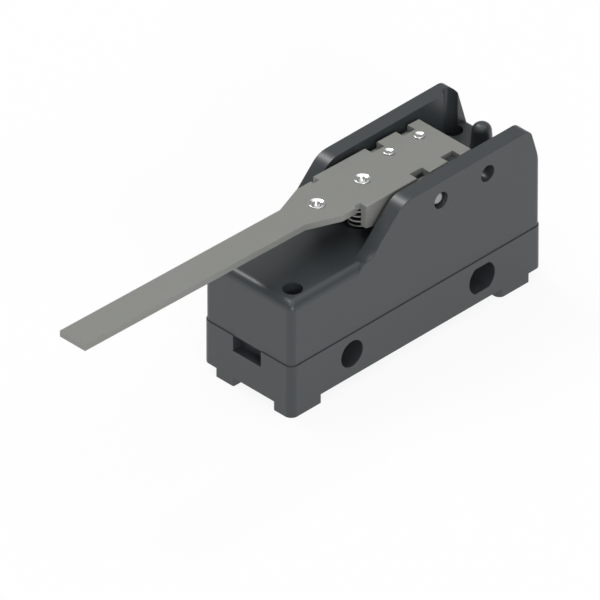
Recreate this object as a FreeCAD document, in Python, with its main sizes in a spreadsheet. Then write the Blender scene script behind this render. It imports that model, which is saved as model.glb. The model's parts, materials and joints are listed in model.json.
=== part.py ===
"""Lever micro switch: a two part housing, a long hinged lever and a snap contact inside.

Millimetres. The origin is on the axis of the round mounting hole, at the middle of the width.
+X runs along the housing away from the lever's tip, +Y across it and +Z up.
"""
import FreeCAD, Part
import os
import re
import Sketcher

# Housing, seen from the side: distances from the axis of the round mounting hole
front_reach = 11.8
rear_reach = 37.2
base_width = 17.2
base_drop = 3.77
parting_height = 3.3
base_corner = 1.2
cover_step = 0.14
deck_height = 13.7
deck_rounding = 1.4
deck_rear_rounding = 0.8
wall_above_pivot = 3.15
wall_thick = 2.46
slope_toe = 1.5
toe_slant = 1.4
slope_foot = 4.0
slope_angle = 45.0
slope_foot_rounding = 3.5
slope_top_rounding = 3.8
rear_lean_below = 0.6
rear_lean_back = 2.07
rear_top_rounding = 1.7
wall_edge = 0.15

# Mounting holes through the width of the base
hole_radius = 2.1
hole_pitch = 25.4
slot_play = 0.4

# Blind slot in the front face, open at the parting line
latch_width = 5.4
latch_height = 2.55
latch_depth = 1.6

# Feet under the base
foot_length = 5.9
foot_width = 3.5
foot_height = 1.45
foot_corner = 0.25
foot_lead_corner = 1.0
foot_inset = 2.5

# Pivot holes in the walls, and the pin
pivot_along = 17.45
flange_gap = 0.9
pivot_bore = 1.3
spare_pivot_offset = 9.08
pin_clearance = 0.06
pin_recess = 0.45
pin_dome = 0.7

# Corner screws of the cover
screw_end = 3.16
screw_side = 2.89
screw_head_radius = 1.35
screw_head_height = 1.2
screw_head_gap = 0.1
screw_seat = 3.0
screw_shank = 0.85
screw_bite = 4.1
screw_drive = 0.55
screw_drive_depth = 0.7
screw_fit = 0.03
screw_wall_gap = 0.1

# Domed post on the deck
post_inset = 3.25
post_radius = 1.65
post_tip = 1.3
post_height = 3.9
post_flat = 0.1

# Lever, one folded sheet: distances from the pivot, along and square to the plate
lever_lift = 1.4
plate_rise = 2.61
sheet_thick = 1.0
blade_reach = 62.82
blade_half = 2.45
neck_start = 20.45
neck_end = 15.15
plate_inset = 0.7
relief_length = 1.15
relief_depth = 0.55
flange_start = 11.3
flange_side_gap = 0.85
bend_radius = 0.2
bend_inside = 0.2
flange_front_drop = 1.0
flange_drop = 2.4
flange_slope_end = 4.7
flange_flat_end = 3.0
flange_rear_drop = 0.4
plate_rear = 9.15
notch_inset = 1.55
notch_length = 2.4
notch_below = 0.1
notch_front = 0.15
notch_pitch = 6.0

# Rivets of the lever and the strip below the plate
rivet_front = 15.75
rivet_rear = 6.95
rivet_radius = 0.8
rivet_head = 1.3
rivet_head_height = 0.32
rivet_dimple = 0.62
rivet_dimple_depth = 0.75
rivet_tail = 1.5
rivet_tail_height = 0.4
stud_front = 0.35
stud_pitch = 5.9
stud_side = 2.1
stud_radius = 0.5
stud_head = 0.85
stud_head_height = 0.25
strip_thick = 0.5
strip_half = 2.3
strip_margin = 1.9
strip_corner = 0.8
rivet_slant = 0.25

# Plunger, its cap and the return spring
plunger_offset = 0.3
plunger_radius = 1.2
plunger_fit = 0.05
plunger_play = 0.05
neck_step = 0.4
plunger_dome = 0.7
plunger_tip = 0.4
plunger_rest_gap = 0.25
collar_step = 0.7
collar_height = 1.0
collar_gap = 0.1
cap_margin = 0.05
cap_thick = 0.4
cap_below_tip = 0.55
spring_pocket_gap = 1.1
spring_pocket_depth = 1.2
spring_play = 0.27
spring_wire = 0.19
spring_pitch = 0.82
spring_end_gap = 0.02
head_step = 0.1

# Contact chamber in the cover and the base
chamber_gap = 1.1
chamber_wall = 2.26
deck_thick = 2.3
bay_floor = 0.5
bay_front = 3.4
bay_gap = 0.25
bay_inset = 0.2

# Snap blade and contacts
blade_height = 6.4
blade_thick = 0.3
anchor_back = 1.9
blade_end = 0.5
blade_width = 5.2
middle_leg = 1.7
leg_gap = 0.35
leg_start = 3.9
tail_ahead = 5.0
leg_sag = 1.1
contact_along = 20.5
contact_radius = 1.25
contact_shank = 0.6
contact_head = 0.8
contact_gap = 1.45
contact_touch = 0.02
tail_behind = 1.7
metal_fit = 0.02
overcut = 1.0

# Terminals, their screws and the recesses for them under the base
terminal_thick = 0.8
terminal_length = 6.0
leg_width = 3.0
leg_fit = 0.05
recess_depth = 1.9
recess_play = 1.4
recess_land = 0.39
recess_margin = 0.1
leg_inset = 8.4
open_leg = 17.0
clamp_side = 5.0
clamp_thick = 0.6
terminal_screw_radius = 1.25
terminal_screw_head = 2.3
terminal_screw_head_height = 1.3
terminal_screw_length = 1.4
terminal_drive_width = 0.6
terminal_drive_depth = 0.6
anchor_lip = 0.9
anchor_gap = 0.15
anchor_half = 2.4
anchor_jaw = 0.6
anchor_dip = 0.25
leg_front_gap = 0.3
leg_overlap = 0.4
clamp_corner = 0.6

# What follows from the sizes above, each with its clearance
FOLLOWS = {
    "pivot_height": "deck_height + flange_drop + flange_gap",
    "wall_top": "pivot_height + wall_above_pivot",
    "lean_height": "deck_height - rear_lean_below",
    "lean_slope": "rear_lean_back / (wall_top - lean_height)",
    "deck_rear": "rear_reach - cover_step - lean_slope * rear_lean_below",
    "screw_hole": "screw_head_radius + screw_head_gap",
    "ceiling_height": "deck_height - deck_thick",
    "slot_radius": "hole_radius + slot_play",
    "post_along": "rear_reach - post_inset",
    "flange_half": "base_width / 2 - cover_step - wall_thick - flange_side_gap",
    "plate_half": "flange_half - plate_inset",
    "notch_half": "flange_half - notch_inset",
    "notch_depth": "sheet_thick + notch_below",
    "relief_start": "flange_start + relief_length",
    "plunger_along": "pivot_along - rivet_rear - plunger_offset",
    "plunger_neck": "plunger_radius - neck_step",
    "plunger_head": "plunger_radius - head_step",
    "collar_radius": "plunger_radius + collar_step",
    "spring_radius": "plunger_radius + spring_wire + spring_play",
    "cap_radius": "spring_radius + spring_wire + cap_margin",
    "spring_pocket_radius": "cap_radius + spring_pocket_gap",
    "common_leg": "front_reach - leg_inset",
    "closed_leg": "rear_reach - leg_inset",
    "chamber_front": "common_leg + terminal_thick + chamber_gap",
    "chamber_rear": "closed_leg + terminal_thick + chamber_gap",
    "chamber_half": "base_width / 2 - cover_step - chamber_wall",
    "bay_rear": "contact_along + contact_radius + bay_gap",
    "bay_half": "chamber_half - bay_inset",
    "blade_pivot": "common_leg - anchor_back",
    "leg_front": "leg_start - blade_pivot",
    "leg_rear": "contact_along - tail_ahead",
    "blade_tail": "contact_along + tail_behind",
    "recess_shift": "foot_inset / 2",
    "recess_length": "terminal_length + recess_play",
    "recess_width": "base_width - foot_inset - 2 * foot_width - 2 * recess_land",
    "terminal_width": "leg_width + 2 * recess_shift",
}

# The cover screws' socket is a hexagon
SOCKET_SIDES = 6

# The sheet takes every size above, each on a row of its own and under its own name
ALIASES = [name for name, amount in globals().items() if isinstance(amount, float)]
document = FreeCAD.newDocument("LeverMicroSwitch")
sheet = document.addObject("Spreadsheet::Sheet", "Sizes")
for row, alias in enumerate(ALIASES, 1):
    sheet.set(f"A{row}", alias)
    sheet.set(f"B{row}", str(globals()[alias]))
    sheet.setAlias(f"B{row}", alias)
document.recompute()

NODES = []


def bound(text):
    """Turn a sum of size names into an expression on the sheet."""
    return re.sub(r"[a-z][a-z0-9_]*", lambda word: named(word.group()), text)


def named(word):
    """Point one size name at its cell, and leave functions such as cos as they are."""
    if word in FOLLOWS:
        return f"({bound(FOLLOWS[word])})"
    return f"Sizes.{word}" if word in ALIASES else word


def value(text):
    """Work out a sum of size names."""
    return float(sheet.evalExpression(bound(text)))


class Piece:
    """One PartDesign body, built up from sketches on its own origin planes."""

    def __init__(self, node):
        self.node = node
        self.body = document.addObject("PartDesign::Body", node)
        self.body.Label = node
        NODES.append(self.body)

    def sketch(self, plane, lift="0", along="0"):
        """Open a sketch on an origin plane, lifted off it and moved along it."""
        profile = self.body.newObject("Sketcher::SketchObject", f"{self.node}_sketch")
        roles = {feature.Role: feature for feature in self.body.Origin.OriginFeatures}
        profile.AttachmentSupport = (roles[plane], [""])
        profile.MapMode = "FlatFace"
        profile.setExpression(".AttachmentOffset.Base.z", bound(lift))
        profile.setExpression(".AttachmentOffset.Base.x", bound(along))
        return profile

    def pad(self, profile, length, symmetric=False):
        """Raise a sketch, or spread it to both sides of its plane."""
        feature = self.body.newObject("PartDesign::Pad", f"{self.node}_pad")
        feature.Profile = profile
        feature.SideType = "Symmetric" if symmetric else "One side"
        feature.setExpression("Length", bound(length))
        document.recompute()
        return feature

    def pocket(self, profile, depth, upward=False, symmetric=False):
        """Cut a sketch into the body, and see that it took something away."""
        before = self.body.Tip.Shape.Volume
        feature = self.body.newObject("PartDesign::Pocket", f"{self.node}_pocket")
        feature.Profile = profile
        feature.SideType = "Symmetric" if symmetric else "One side"
        feature.Reversed = upward
        feature.setExpression("Length", bound(depth))
        document.recompute()
        if feature.Shape.Volume >= before:
            raise ValueError(f"a pocket of {self.node} cuts nothing")
        return feature

    def revolve(self, profile):
        """Turn a half section about its sketch's upright axis."""
        feature = self.body.newObject("PartDesign::Revolution", f"{self.node}_turn")
        feature.Profile = profile
        feature.ReferenceAxis = (profile, ["V_Axis"])
        feature.Angle = 360.0
        document.recompute()
        return feature

    def fillet(self, radius, wanted):
        """Round the edges of the present shape that a test picks out."""
        tip = self.body.Tip
        edges = [f"Edge{number}" for number, edge in enumerate(tip.Shape.Edges, 1) if wanted(edge)]
        if not edges:
            raise ValueError(f"no edge of {self.node} to round")
        feature = self.body.newObject("PartDesign::Fillet", f"{self.node}_fillet")
        feature.Base = (tip, edges)
        feature.setExpression("Radius", bound(radius))
        document.recompute()
        return feature

    def mirror(self, feature):
        """Repeat a feature on the other side of the middle plane of the width."""
        roles = {item.Role: item for item in self.body.Origin.OriginFeatures}
        copy = self.body.newObject("PartDesign::Mirrored", f"{self.node}_mirror")
        copy.Originals = [feature]
        copy.MirrorPlane = (roles["XZ_Plane"], [""])
        self.body.Tip = copy
        document.recompute()

    def place(self, along="0", across="0", height="0", turn="0"):
        """Move the finished body, and turn it about the Y direction."""
        spin = FreeCAD.Rotation(FreeCAD.Vector(0, 1, 0), value(turn))
        self.body.Placement = FreeCAD.Placement(FreeCAD.Vector(0, 0, 0), spin)
        self.body.setExpression(".Placement.Base.x", bound(along))
        self.body.setExpression(".Placement.Base.y", bound(across))
        self.body.setExpression(".Placement.Base.z", bound(height))
        self.body.setExpression(".Placement.Rotation.Angle", bound(turn))
        document.recompute()


def tie(profile, kind, geometry, point, text):
    """Hold one coordinate of a point of a sketch at a sum of sizes."""
    number = profile.addConstraint(Sketcher.Constraint(kind, -1, 1, geometry, point, value(text)))
    profile.setExpression(f"Constraints[{number}]", bound(text))


def polygon(profile, corners):
    """Draw a closed outline of straight lines through corners given as sums of sizes."""
    spots = [FreeCAD.Vector(value(along), value(across), 0) for along, across in corners]
    first = profile.GeometryCount
    for start, end in zip(spots, spots[1:] + spots[:1]):
        profile.addGeometry(Part.LineSegment(start, end), False)
    for number, (along, across) in enumerate(corners):
        before = first + (number - 1) % len(corners)
        profile.addConstraint(Sketcher.Constraint("Coincident", before, 2, first + number, 1))
        tie(profile, "DistanceX", first + number, 1, along)
        tie(profile, "DistanceY", first + number, 1, across)


def rectangle(profile, low_along, high_along, low_across, high_across):
    """Draw a closed rectangle between four sums of sizes."""
    corners = [(low_along, low_across), (high_along, low_across)]
    corners += [(high_along, high_across), (low_along, high_across)]
    polygon(profile, corners)


def circle(profile, along, across, radius):
    """Draw a circle whose middle and radius are sums of sizes."""
    middle = FreeCAD.Vector(value(along), value(across), 0)
    shape = Part.Circle(middle, FreeCAD.Vector(0, 0, 1), value(radius))
    number = profile.addGeometry(shape, False)
    tie(profile, "DistanceX", number, 3, along)
    tie(profile, "DistanceY", number, 3, across)
    bond = profile.addConstraint(Sketcher.Constraint("Radius", number, value(radius)))
    profile.setExpression(f"Constraints[{bond}]", bound(radius))


def is_upright(edge, slack=1e-6):
    """Tell whether an edge is a straight one along Z."""
    if edge.Degenerated or edge.Curve.TypeId != "Part::GeomLine":
        return False
    return abs(abs(edge.tangentAt(edge.FirstParameter).z) - 1) < slack


def near(number, text, slack=1e-3):
    """Tell whether a coordinate is where a sum of sizes puts it."""
    return abs(number - value(text)) < slack


def at_base_corner(edge):
    """Tell whether an upright edge stands at a corner of the base's outline."""
    middle = edge.CenterOfMass
    along = near(middle.x, "-front_reach") or near(middle.x, "rear_reach")
    return along and near(abs(middle.y), "base_width / 2")


def at_foot_lead(edge):
    """Tell whether an upright edge is the outer front corner of the rear foot that is flush with the side."""
    middle = edge.CenterOfMass
    along = near(middle.x, "rear_reach - foot_inset - foot_length")
    return along and near(middle.y, "-base_width / 2")


def add_feet(base):
    """Raise the four feet below the base, the first flush with its front and its near side."""
    profile = base.sketch("XY_Plane", "-base_drop - foot_height")
    for front in ("-front_reach", "rear_reach - foot_inset - foot_length"):
        for side in ("-base_width / 2", "base_width / 2 - foot_inset - foot_width"):
            rectangle(profile, front, f"{front} + foot_length", side, f"{side} + foot_width")
    base.pad(profile, "foot_height")


def terminal_spots():
    """Give the middle of each terminal's recess along the base."""
    half = "recess_length / 2"
    common = f"-common_leg + recess_margin - {half}"
    opened = f"open_leg + terminal_thick + recess_margin - {half}"
    return {"common": common, "open": opened, "closed": f"closed_leg - recess_margin + {half}"}


def leg_spots():
    """Give the low side of each terminal's upright leg along the base."""
    return {"common": "-common_leg - terminal_thick", "open": "open_leg", "closed": "closed_leg"}


def screw_spots():
    """Give the four corner screws' places; the rear near one stands clear of its wall, the far one in it."""
    front = "-front_reach + cover_step + screw_end"
    rear = "rear_reach - cover_step - screw_end"
    side = "(base_width / 2 - cover_step - screw_side)"
    clear = "(base_width / 2 - cover_step - wall_thick - screw_wall_gap - screw_hole)"
    spots = {"front_near": (front, f"-{side}"), "front_far": (front, side)}
    spots.update({"rear_near": (rear, f"-{clear}"), "rear_far": (rear, side)})
    return spots


def make_base():
    """Build the lower moulding with its feet, mounting holes, bay and terminal recesses."""
    base = Piece("base_housing")
    outline = base.sketch("XY_Plane", "-base_drop")
    rectangle(outline, "-front_reach", "rear_reach", "-base_width / 2", "base_width / 2")
    base.pad(outline, "base_drop + parting_height")
    add_feet(base)
    base.fillet("base_corner", lambda edge: is_upright(edge) and at_base_corner(edge))
    base.fillet("foot_lead_corner", lambda edge: is_upright(edge) and at_foot_lead(edge))
    base.fillet("foot_corner", lambda edge: is_upright(edge) and edge.CenterOfMass.z < value("-base_drop"))

    holes = base.sketch("XZ_Plane")
    circle(holes, "0", "0", "hole_radius")
    base.pocket(holes, "base_width + overcut", symmetric=True)
    flat_sided_hole(base)

    latch = base.sketch("XY_Plane", "parting_height")
    low, high = "-front_reach - overcut", "-front_reach + latch_depth"
    rectangle(latch, low, high, "-latch_width / 2", "latch_width / 2")
    base.pocket(latch, "latch_height")

    bay = base.sketch("XY_Plane", "parting_height")
    rectangle(bay, "bay_front", "bay_rear", "-bay_half", "bay_half")
    base.pocket(bay, "parting_height - bay_floor")

    recesses = base.sketch("XY_Plane", "-base_drop")
    pilots = base.sketch("XY_Plane", "-base_drop")
    for middle in terminal_spots().values():
        half = "recess_length / 2"
        low = "-recess_shift - recess_width / 2"
        rectangle(recesses, f"{middle} - {half}", f"{middle} + {half}", low, f"{low} + recess_width")
        circle(pilots, middle, "-recess_shift", "terminal_screw_radius + screw_fit")
    base.pocket(recesses, "recess_depth", upward=True)
    base.pocket(pilots, "recess_depth + terminal_screw_length + screw_head_gap", upward=True)

    slits = base.sketch("XY_Plane", "parting_height")
    for low in leg_spots().values():
        wide = "(leg_width / 2 + leg_fit)"
        rectangle(slits, f"{low} - leg_fit", f"{low} + terminal_thick + leg_fit", f"-{wide}", wide)
    base.pocket(slits, "parting_height + base_drop")

    screws = base.sketch("XY_Plane", "parting_height")
    for along, across in screw_spots().values():
        circle(screws, along, across, "screw_shank + screw_fit")
    base.pocket(screws, "screw_bite + screw_head_gap")
    return base


def flat_sided_hole(base):
    """Cut the second mounting hole, a circle with a flat at its top and its bottom."""
    profile = base.sketch("XZ_Plane")
    middle = FreeCAD.Vector(value("hole_pitch"), 0, 0)
    radius = value("slot_radius")
    rise = value("hole_radius")
    reach = (radius ** 2 - rise ** 2) ** 0.5
    corners = [FreeCAD.Vector(middle.x + sign_along * reach, sign_up * rise, 0)
               for sign_along, sign_up in ((1, -1), (1, 1), (-1, 1), (-1, -1))]
    rear_side = FreeCAD.Vector(middle.x + radius, 0, 0)
    front_side = FreeCAD.Vector(middle.x - radius, 0, 0)
    profile.addGeometry(Part.Arc(corners[0], rear_side, corners[1]), False)
    profile.addGeometry(Part.LineSegment(corners[1], corners[2]), False)
    profile.addGeometry(Part.Arc(corners[2], front_side, corners[3]), False)
    profile.addGeometry(Part.LineSegment(corners[3], corners[0]), False)
    for number in range(4):
        profile.addConstraint(Sketcher.Constraint("Coincident", number, 2, (number + 1) % 4, 1))
    profile.addConstraint(Sketcher.Constraint("Horizontal", 1))
    profile.addConstraint(Sketcher.Constraint("Horizontal", 3))
    for number in (0, 2):
        tie(profile, "DistanceX", number, 3, "hole_pitch")
        tie(profile, "DistanceY", number, 3, "0")
        bond = profile.addConstraint(Sketcher.Constraint("Radius", number, radius))
        profile.setExpression(f"Constraints[{bond}]", bound("slot_radius"))
    tie(profile, "DistanceY", 1, 1, "hole_radius")
    tie(profile, "DistanceY", 3, 1, "-hole_radius")
    base.pocket(profile, "base_width + overcut", symmetric=True)


def wall_profile():
    """Give the corners of a side wall, seen from the side, from its toe on the deck round to the rear."""
    rear = "(rear_reach - cover_step)"
    slope = "(wall_top - deck_height) / tan(slope_angle * 1deg)"
    toe = "slope_foot - slope_toe"
    corners = [(f"{toe} - toe_slant", "parting_height"), (rear, "parting_height")]
    corners += [(rear, "lean_height"), (f"{rear} - rear_lean_back", "wall_top")]
    corners += [(f"slope_foot + {slope}", "wall_top"), ("slope_foot", "deck_height")]
    corners += [(toe, "deck_height"), (f"{toe} - toe_slant", "deck_height - toe_slant")]
    return corners


def runs_across(edge, along, height):
    """Tell whether an edge lies across the housing at a given place along it and a given height."""
    middle = edge.CenterOfMass
    level = near(edge.BoundBox.ZMin, height) and near(edge.BoundBox.ZMax, height)
    return level and near(middle.x, along) and near(edge.BoundBox.XMax - edge.BoundBox.XMin, "0")


def is_deck_rim(edge):
    """Tell whether an edge of the deck is at its front or one of its sides."""
    box = edge.BoundBox
    return near(box.ZMin, "deck_height") and not near(box.XMin, "rear_reach - cover_step")


def is_rear_corner(edge):
    """Tell whether an upright edge is one of the two outer rear corners of the cover."""
    middle = edge.CenterOfMass
    outer = near(abs(middle.y), "base_width / 2 - cover_step")
    return is_upright(edge) and outer and near(middle.x, "rear_reach - cover_step")


def is_outer_rim(edge):
    """Tell whether an edge runs along the slope or the top of a wall, on its outer side."""
    box = edge.BoundBox
    outer = near(abs(box.YMin), "base_width / 2 - cover_step") and near(box.YMax - box.YMin, "0")
    return outer and box.ZMin > value("deck_height") and not is_upright(edge)


def make_cover():
    """Build the upper moulding: deck, walls with slopes, chamber, holes and post."""
    cover = Piece("cover_housing")
    front = "-front_reach + cover_step"
    rear = "rear_reach - cover_step"
    side = "(base_width / 2 - cover_step)"
    block = cover.sketch("XY_Plane", "parting_height")
    rectangle(block, front, rear, f"-{side}", side)
    cover.pad(block, "deck_height - parting_height")
    cover.fillet("base_corner - cover_step", lambda edge: is_upright(edge) and edge.CenterOfMass.x < 0)
    cover.fillet("deck_rounding", is_deck_rim)
    lean = cover.sketch("XZ_Plane")
    behind = f"{rear} + overcut"
    above = "deck_height + overcut"
    polygon(lean, [(rear, "lean_height"), (behind, "lean_height"), (behind, above),
                   ("deck_rear - lean_slope * overcut", above)])
    cover.pocket(lean, "base_width + overcut", symmetric=True)

    wall = cover.sketch("XZ_Plane", f"{side} - wall_thick")
    polygon(wall, wall_profile())
    cover.mirror(cover.pad(wall, "wall_thick"))
    cover.fillet("base_corner - cover_step", is_rear_corner)
    slope = "(wall_top - deck_height) / tan(slope_angle * 1deg)"
    cover.fillet("slope_foot_rounding", lambda edge: runs_across(edge, "slope_foot", "deck_height"))
    cover.fillet("slope_top_rounding", lambda edge: runs_across(edge, f"slope_foot + {slope}", "wall_top"))
    lean_end = f"{rear} - rear_lean_back"
    cover.fillet("rear_top_rounding", lambda edge: runs_across(edge, lean_end, "wall_top"))
    cover.fillet("wall_edge", is_outer_rim)
    cover.fillet("deck_rear_rounding", lambda edge: runs_across(edge, "deck_rear", "deck_height"))

    chamber = cover.sketch("XY_Plane", "parting_height")
    rectangle(chamber, "-chamber_front", "chamber_rear", "-chamber_half", "chamber_half")
    cover.pocket(chamber, "ceiling_height - parting_height", upward=True)
    add_cover_holes(cover)
    add_post(cover)
    return cover


def add_cover_holes(cover):
    """Cut the screw holes, one of them up through a wall, the spring pocket and the pivot bores."""
    heads = cover.sketch("XY_Plane", "wall_top")
    shanks = cover.sketch("XY_Plane", "parting_height")
    for along, across in screw_spots().values():
        circle(heads, along, across, "screw_hole")
        circle(shanks, along, across, "screw_shank + screw_head_gap")
    cover.pocket(heads, "wall_top - parting_height - screw_seat")
    cover.pocket(shanks, "screw_seat", upward=True)

    well = cover.sketch("XY_Plane", "deck_height")
    circle(well, "plunger_along", "0", "spring_pocket_radius")
    cover.pocket(well, "spring_pocket_depth")
    guide = cover.sketch("XY_Plane", "deck_height - spring_pocket_depth")
    circle(guide, "plunger_along", "0", "plunger_radius + plunger_fit")
    cover.pocket(guide, "deck_height - spring_pocket_depth - ceiling_height")

    pivots = cover.sketch("XZ_Plane")
    circle(pivots, "pivot_along", "pivot_height", "pivot_bore")
    circle(pivots, "pivot_along + spare_pivot_offset", "pivot_height", "pivot_bore")
    cover.pocket(pivots, "base_width + overcut", symmetric=True)


def add_post(cover):
    """Raise the tapered post with its domed top from the rear of the deck."""
    section = cover.sketch("XZ_Plane", along="post_along")
    top = "deck_height + post_height"
    corners = [("0", "ceiling_height"), ("post_radius", "ceiling_height")]
    corners += [("post_radius", "deck_height"), ("post_tip", top), ("0", top)]
    polygon(section, corners)
    cover.revolve(section)
    cover.fillet("post_tip - post_flat", lambda edge: near(edge.BoundBox.ZMin, top) and edge.Closed)


def make_lever():
    """Build the lever, one folded sheet, level about its pivot and then tilted with its tip up."""
    lever = Piece("lever")
    under = "plate_rise - sheet_thick"
    plan = lever.sketch("XY_Plane", under)
    half = [("-blade_reach", "blade_half"), ("-neck_start", "blade_half"), ("-neck_end", "plate_half")]
    half += [("-relief_start", "plate_half"), ("-relief_start", "plate_half - relief_depth")]
    half += [("-flange_start", "plate_half - relief_depth"), ("-flange_start", "flange_half")]
    half += [("plate_rear", "flange_half")]
    other = [(along, f"-({across})") for along, across in half]
    polygon(plan, other + half[::-1])
    lever.pad(plan, "sheet_thick")

    flange = lever.sketch("XZ_Plane", "flange_half - sheet_thick")
    corners = [("-flange_start", "plate_rise"), ("-flange_start", "-flange_front_drop")]
    corners += [("-flange_slope_end", "-flange_drop"), ("flange_flat_end", "-flange_drop")]
    corners += [("plate_rear", "-flange_rear_drop"), ("plate_rear", "plate_rise")]
    polygon(flange, corners)
    lever.mirror(lever.pad(flange, "sheet_thick"))
    lever.fillet("bend_radius", is_lever_bend)
    lever.fillet("bend_inside", is_lever_inner_bend)

    notches = lever.sketch("XY_Plane", "plate_rise")
    for step in ("0", "notch_pitch"):
        front = f"-notch_front - notch_length / 2 + {step}"
        for low, high in (("notch_half", "flange_half + overcut"), ("-flange_half - overcut", "-notch_half")):
            rectangle(notches, front, f"{front} + notch_length", low, high)
    lever.pocket(notches, "notch_depth")

    bores = lever.sketch("XZ_Plane")
    circle(bores, "0", "0", "pivot_bore")
    lever.pocket(bores, "2 * flange_half + overcut", symmetric=True)
    cut_rivet_holes(lever, "plate_rise", "sheet_thick")
    studs = lever.sketch("XY_Plane", "plate_rise")
    for along in ("stud_front", "stud_front + stud_pitch"):
        circle(studs, along, "stud_side", "stud_radius + metal_fit")
    lever.pocket(studs, "sheet_thick")
    on_lever(lever)
    return lever


def is_lever_bend(edge):
    """Tell whether an edge is one of the two outer bends of the lever."""
    box = edge.BoundBox
    outside = near(abs(box.YMin), "flange_half") and near(box.YMax - box.YMin, "0")
    return outside and near(box.ZMin, "plate_rise") and near(box.ZMax, "plate_rise")


def is_lever_inner_bend(edge):
    """Tell whether an edge is one of the two inner bends of the lever."""
    box = edge.BoundBox
    inside = near(abs(box.YMin), "flange_half - sheet_thick") and near(box.YMax - box.YMin, "0")
    under = "plate_rise - sheet_thick"
    return inside and near(box.ZMin, under) and near(box.ZMax, under)


def cut_rivet_holes(piece, top, thickness):
    """Cut the two holes for the large rivets through a sheet."""
    holes = piece.sketch("XY_Plane", top)
    for along in ("-rivet_front", "-rivet_rear"):
        circle(holes, along, "0", "rivet_radius + metal_fit")
    piece.pocket(holes, thickness)


def on_lever(piece):
    """Carry a piece drawn level about the pivot to the lever's own place and tilt."""
    piece.place(along="pivot_along", height="pivot_height", turn="lever_lift")


def make_strip():
    """Build the strip that the two large rivets hold under the lever."""
    strip = Piece("pusher_strip")
    under = "plate_rise - sheet_thick - strip_thick"
    plan = strip.sketch("XY_Plane", under)
    rectangle(plan, "-rivet_front - strip_margin", "-rivet_rear + strip_margin", "-strip_half", "strip_half")
    strip.pad(plan, "strip_thick")
    strip.fillet("strip_corner", is_upright)
    cut_rivet_holes(strip, "plate_rise - sheet_thick", "strip_thick")
    on_lever(strip)
    return strip


def make_rivet(node, along):
    """Build one of the two large hollow rivets that join the lever and its strip."""
    rivet = Piece(node)
    section = rivet.sketch("XZ_Plane", along=along)
    under = "plate_rise - sheet_thick - strip_thick"
    top = "plate_rise + rivet_head_height"
    floor = f"{top} - rivet_dimple_depth"
    tail = f"{under} - rivet_tail_height"
    corners = [("0", tail), ("rivet_tail - rivet_slant", tail)]
    corners += [("rivet_tail", under), ("rivet_radius", under), ("rivet_radius", "plate_rise")]
    corners += [("rivet_head", "plate_rise"), ("rivet_head - rivet_slant", top), ("rivet_dimple", top)]
    corners += [("rivet_dimple - rivet_slant", floor), ("0", floor)]
    polygon(section, corners)
    rivet.revolve(section)
    on_lever(rivet)
    return rivet


def make_stud(node, along):
    """Build one of the two small rivets beside the middle line of the lever."""
    stud = Piece(node)
    section = stud.sketch("XZ_Plane", "-stud_side", along)
    top = "plate_rise + stud_head_height"
    corners = [("0", "plate_rise - sheet_thick"), ("stud_radius", "plate_rise - sheet_thick")]
    corners += [("stud_radius", "plate_rise"), ("stud_head", "plate_rise"), ("stud_head - rivet_slant", top)]
    corners += [("stud_radius - rivet_slant", top), ("0", "plate_rise")]
    polygon(section, corners)
    stud.revolve(section)
    on_lever(stud)
    return stud


def make_pin():
    """Build the hinge pin, domed at both ends, which stand back from the walls' outer faces."""
    pin = Piece("hinge_pin")
    section = pin.sketch("XZ_Plane")
    circle(section, "pivot_along", "pivot_height", "pivot_bore - pin_clearance")
    pin.pad(section, "base_width - 2 * cover_step - 2 * pin_recess", symmetric=True)
    pin.fillet("pin_dome", lambda edge: edge.Closed)
    return pin


def plunger_top():
    """Give the height of the plunger's tip, a little below the tail of the rear rivet."""
    tail = "(plate_rise - sheet_thick - strip_thick - rivet_tail_height) * cos(lever_lift * 1deg)"
    reach = "(pivot_along - plunger_along - plunger_tip) * sin(lever_lift * 1deg)"
    return f"(pivot_height + {tail} + {reach} - plunger_play)"


def make_plunger():
    """Build the stepped plunger between the lever and the snap blade."""
    plunger = Piece("plunger")
    section = plunger.sketch("XZ_Plane", along="plunger_along")
    top = plunger_top()
    foot = "(blade_height + blade_thick + plunger_rest_gap)"
    collar = "(ceiling_height - collar_gap)"
    seat = f"({top} - cap_below_tip)"
    corners = [("0", foot), ("plunger_tip", foot), ("plunger_radius", f"{foot} + plunger_dome")]
    ledge = f"{collar} - collar_height"
    corners += [("plunger_radius", ledge), ("collar_radius", ledge), ("collar_radius", collar)]
    corners += [("plunger_radius", collar), ("plunger_radius", f"{seat} - cap_thick")]
    corners += [("plunger_neck", f"{seat} - cap_thick"), ("plunger_neck", seat), ("plunger_head", seat)]
    corners += [("plunger_tip", top), ("0", top)]
    polygon(section, corners)
    plunger.revolve(section)
    return plunger


def make_cap():
    """Build the disc on the plunger that the return spring pushes up."""
    cap = Piece("spring_cap")
    seat = f"({plunger_top()} - cap_below_tip)"
    disc = cap.sketch("XY_Plane", f"{seat} - cap_thick")
    circle(disc, "plunger_along", "0", "cap_radius")
    circle(disc, "plunger_along", "0", "plunger_neck + metal_fit")
    cap.pad(disc, "cap_thick")
    return cap


def make_spring():
    """Wind the return spring between the floor of its pocket and the cap."""
    spring = Piece("return_spring")
    low = "deck_height - spring_pocket_depth + spring_wire + spring_end_gap"
    high = f"{plunger_top()} - cap_below_tip - cap_thick - spring_wire - spring_end_gap"
    section = spring.sketch("XZ_Plane", along="plunger_along")
    circle(section, "spring_radius", low, "spring_wire")
    coil = spring.body.newObject("PartDesign::AdditiveHelix", "return_spring_coil")
    coil.Profile = section
    coil.ReferenceAxis = (section, ["V_Axis"])
    coil.Mode = "pitch-height-angle"
    coil.setExpression("Pitch", bound("spring_pitch"))
    coil.setExpression("Height", bound(f"{high} - ({low})"))
    document.recompute()
    return spring


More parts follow.
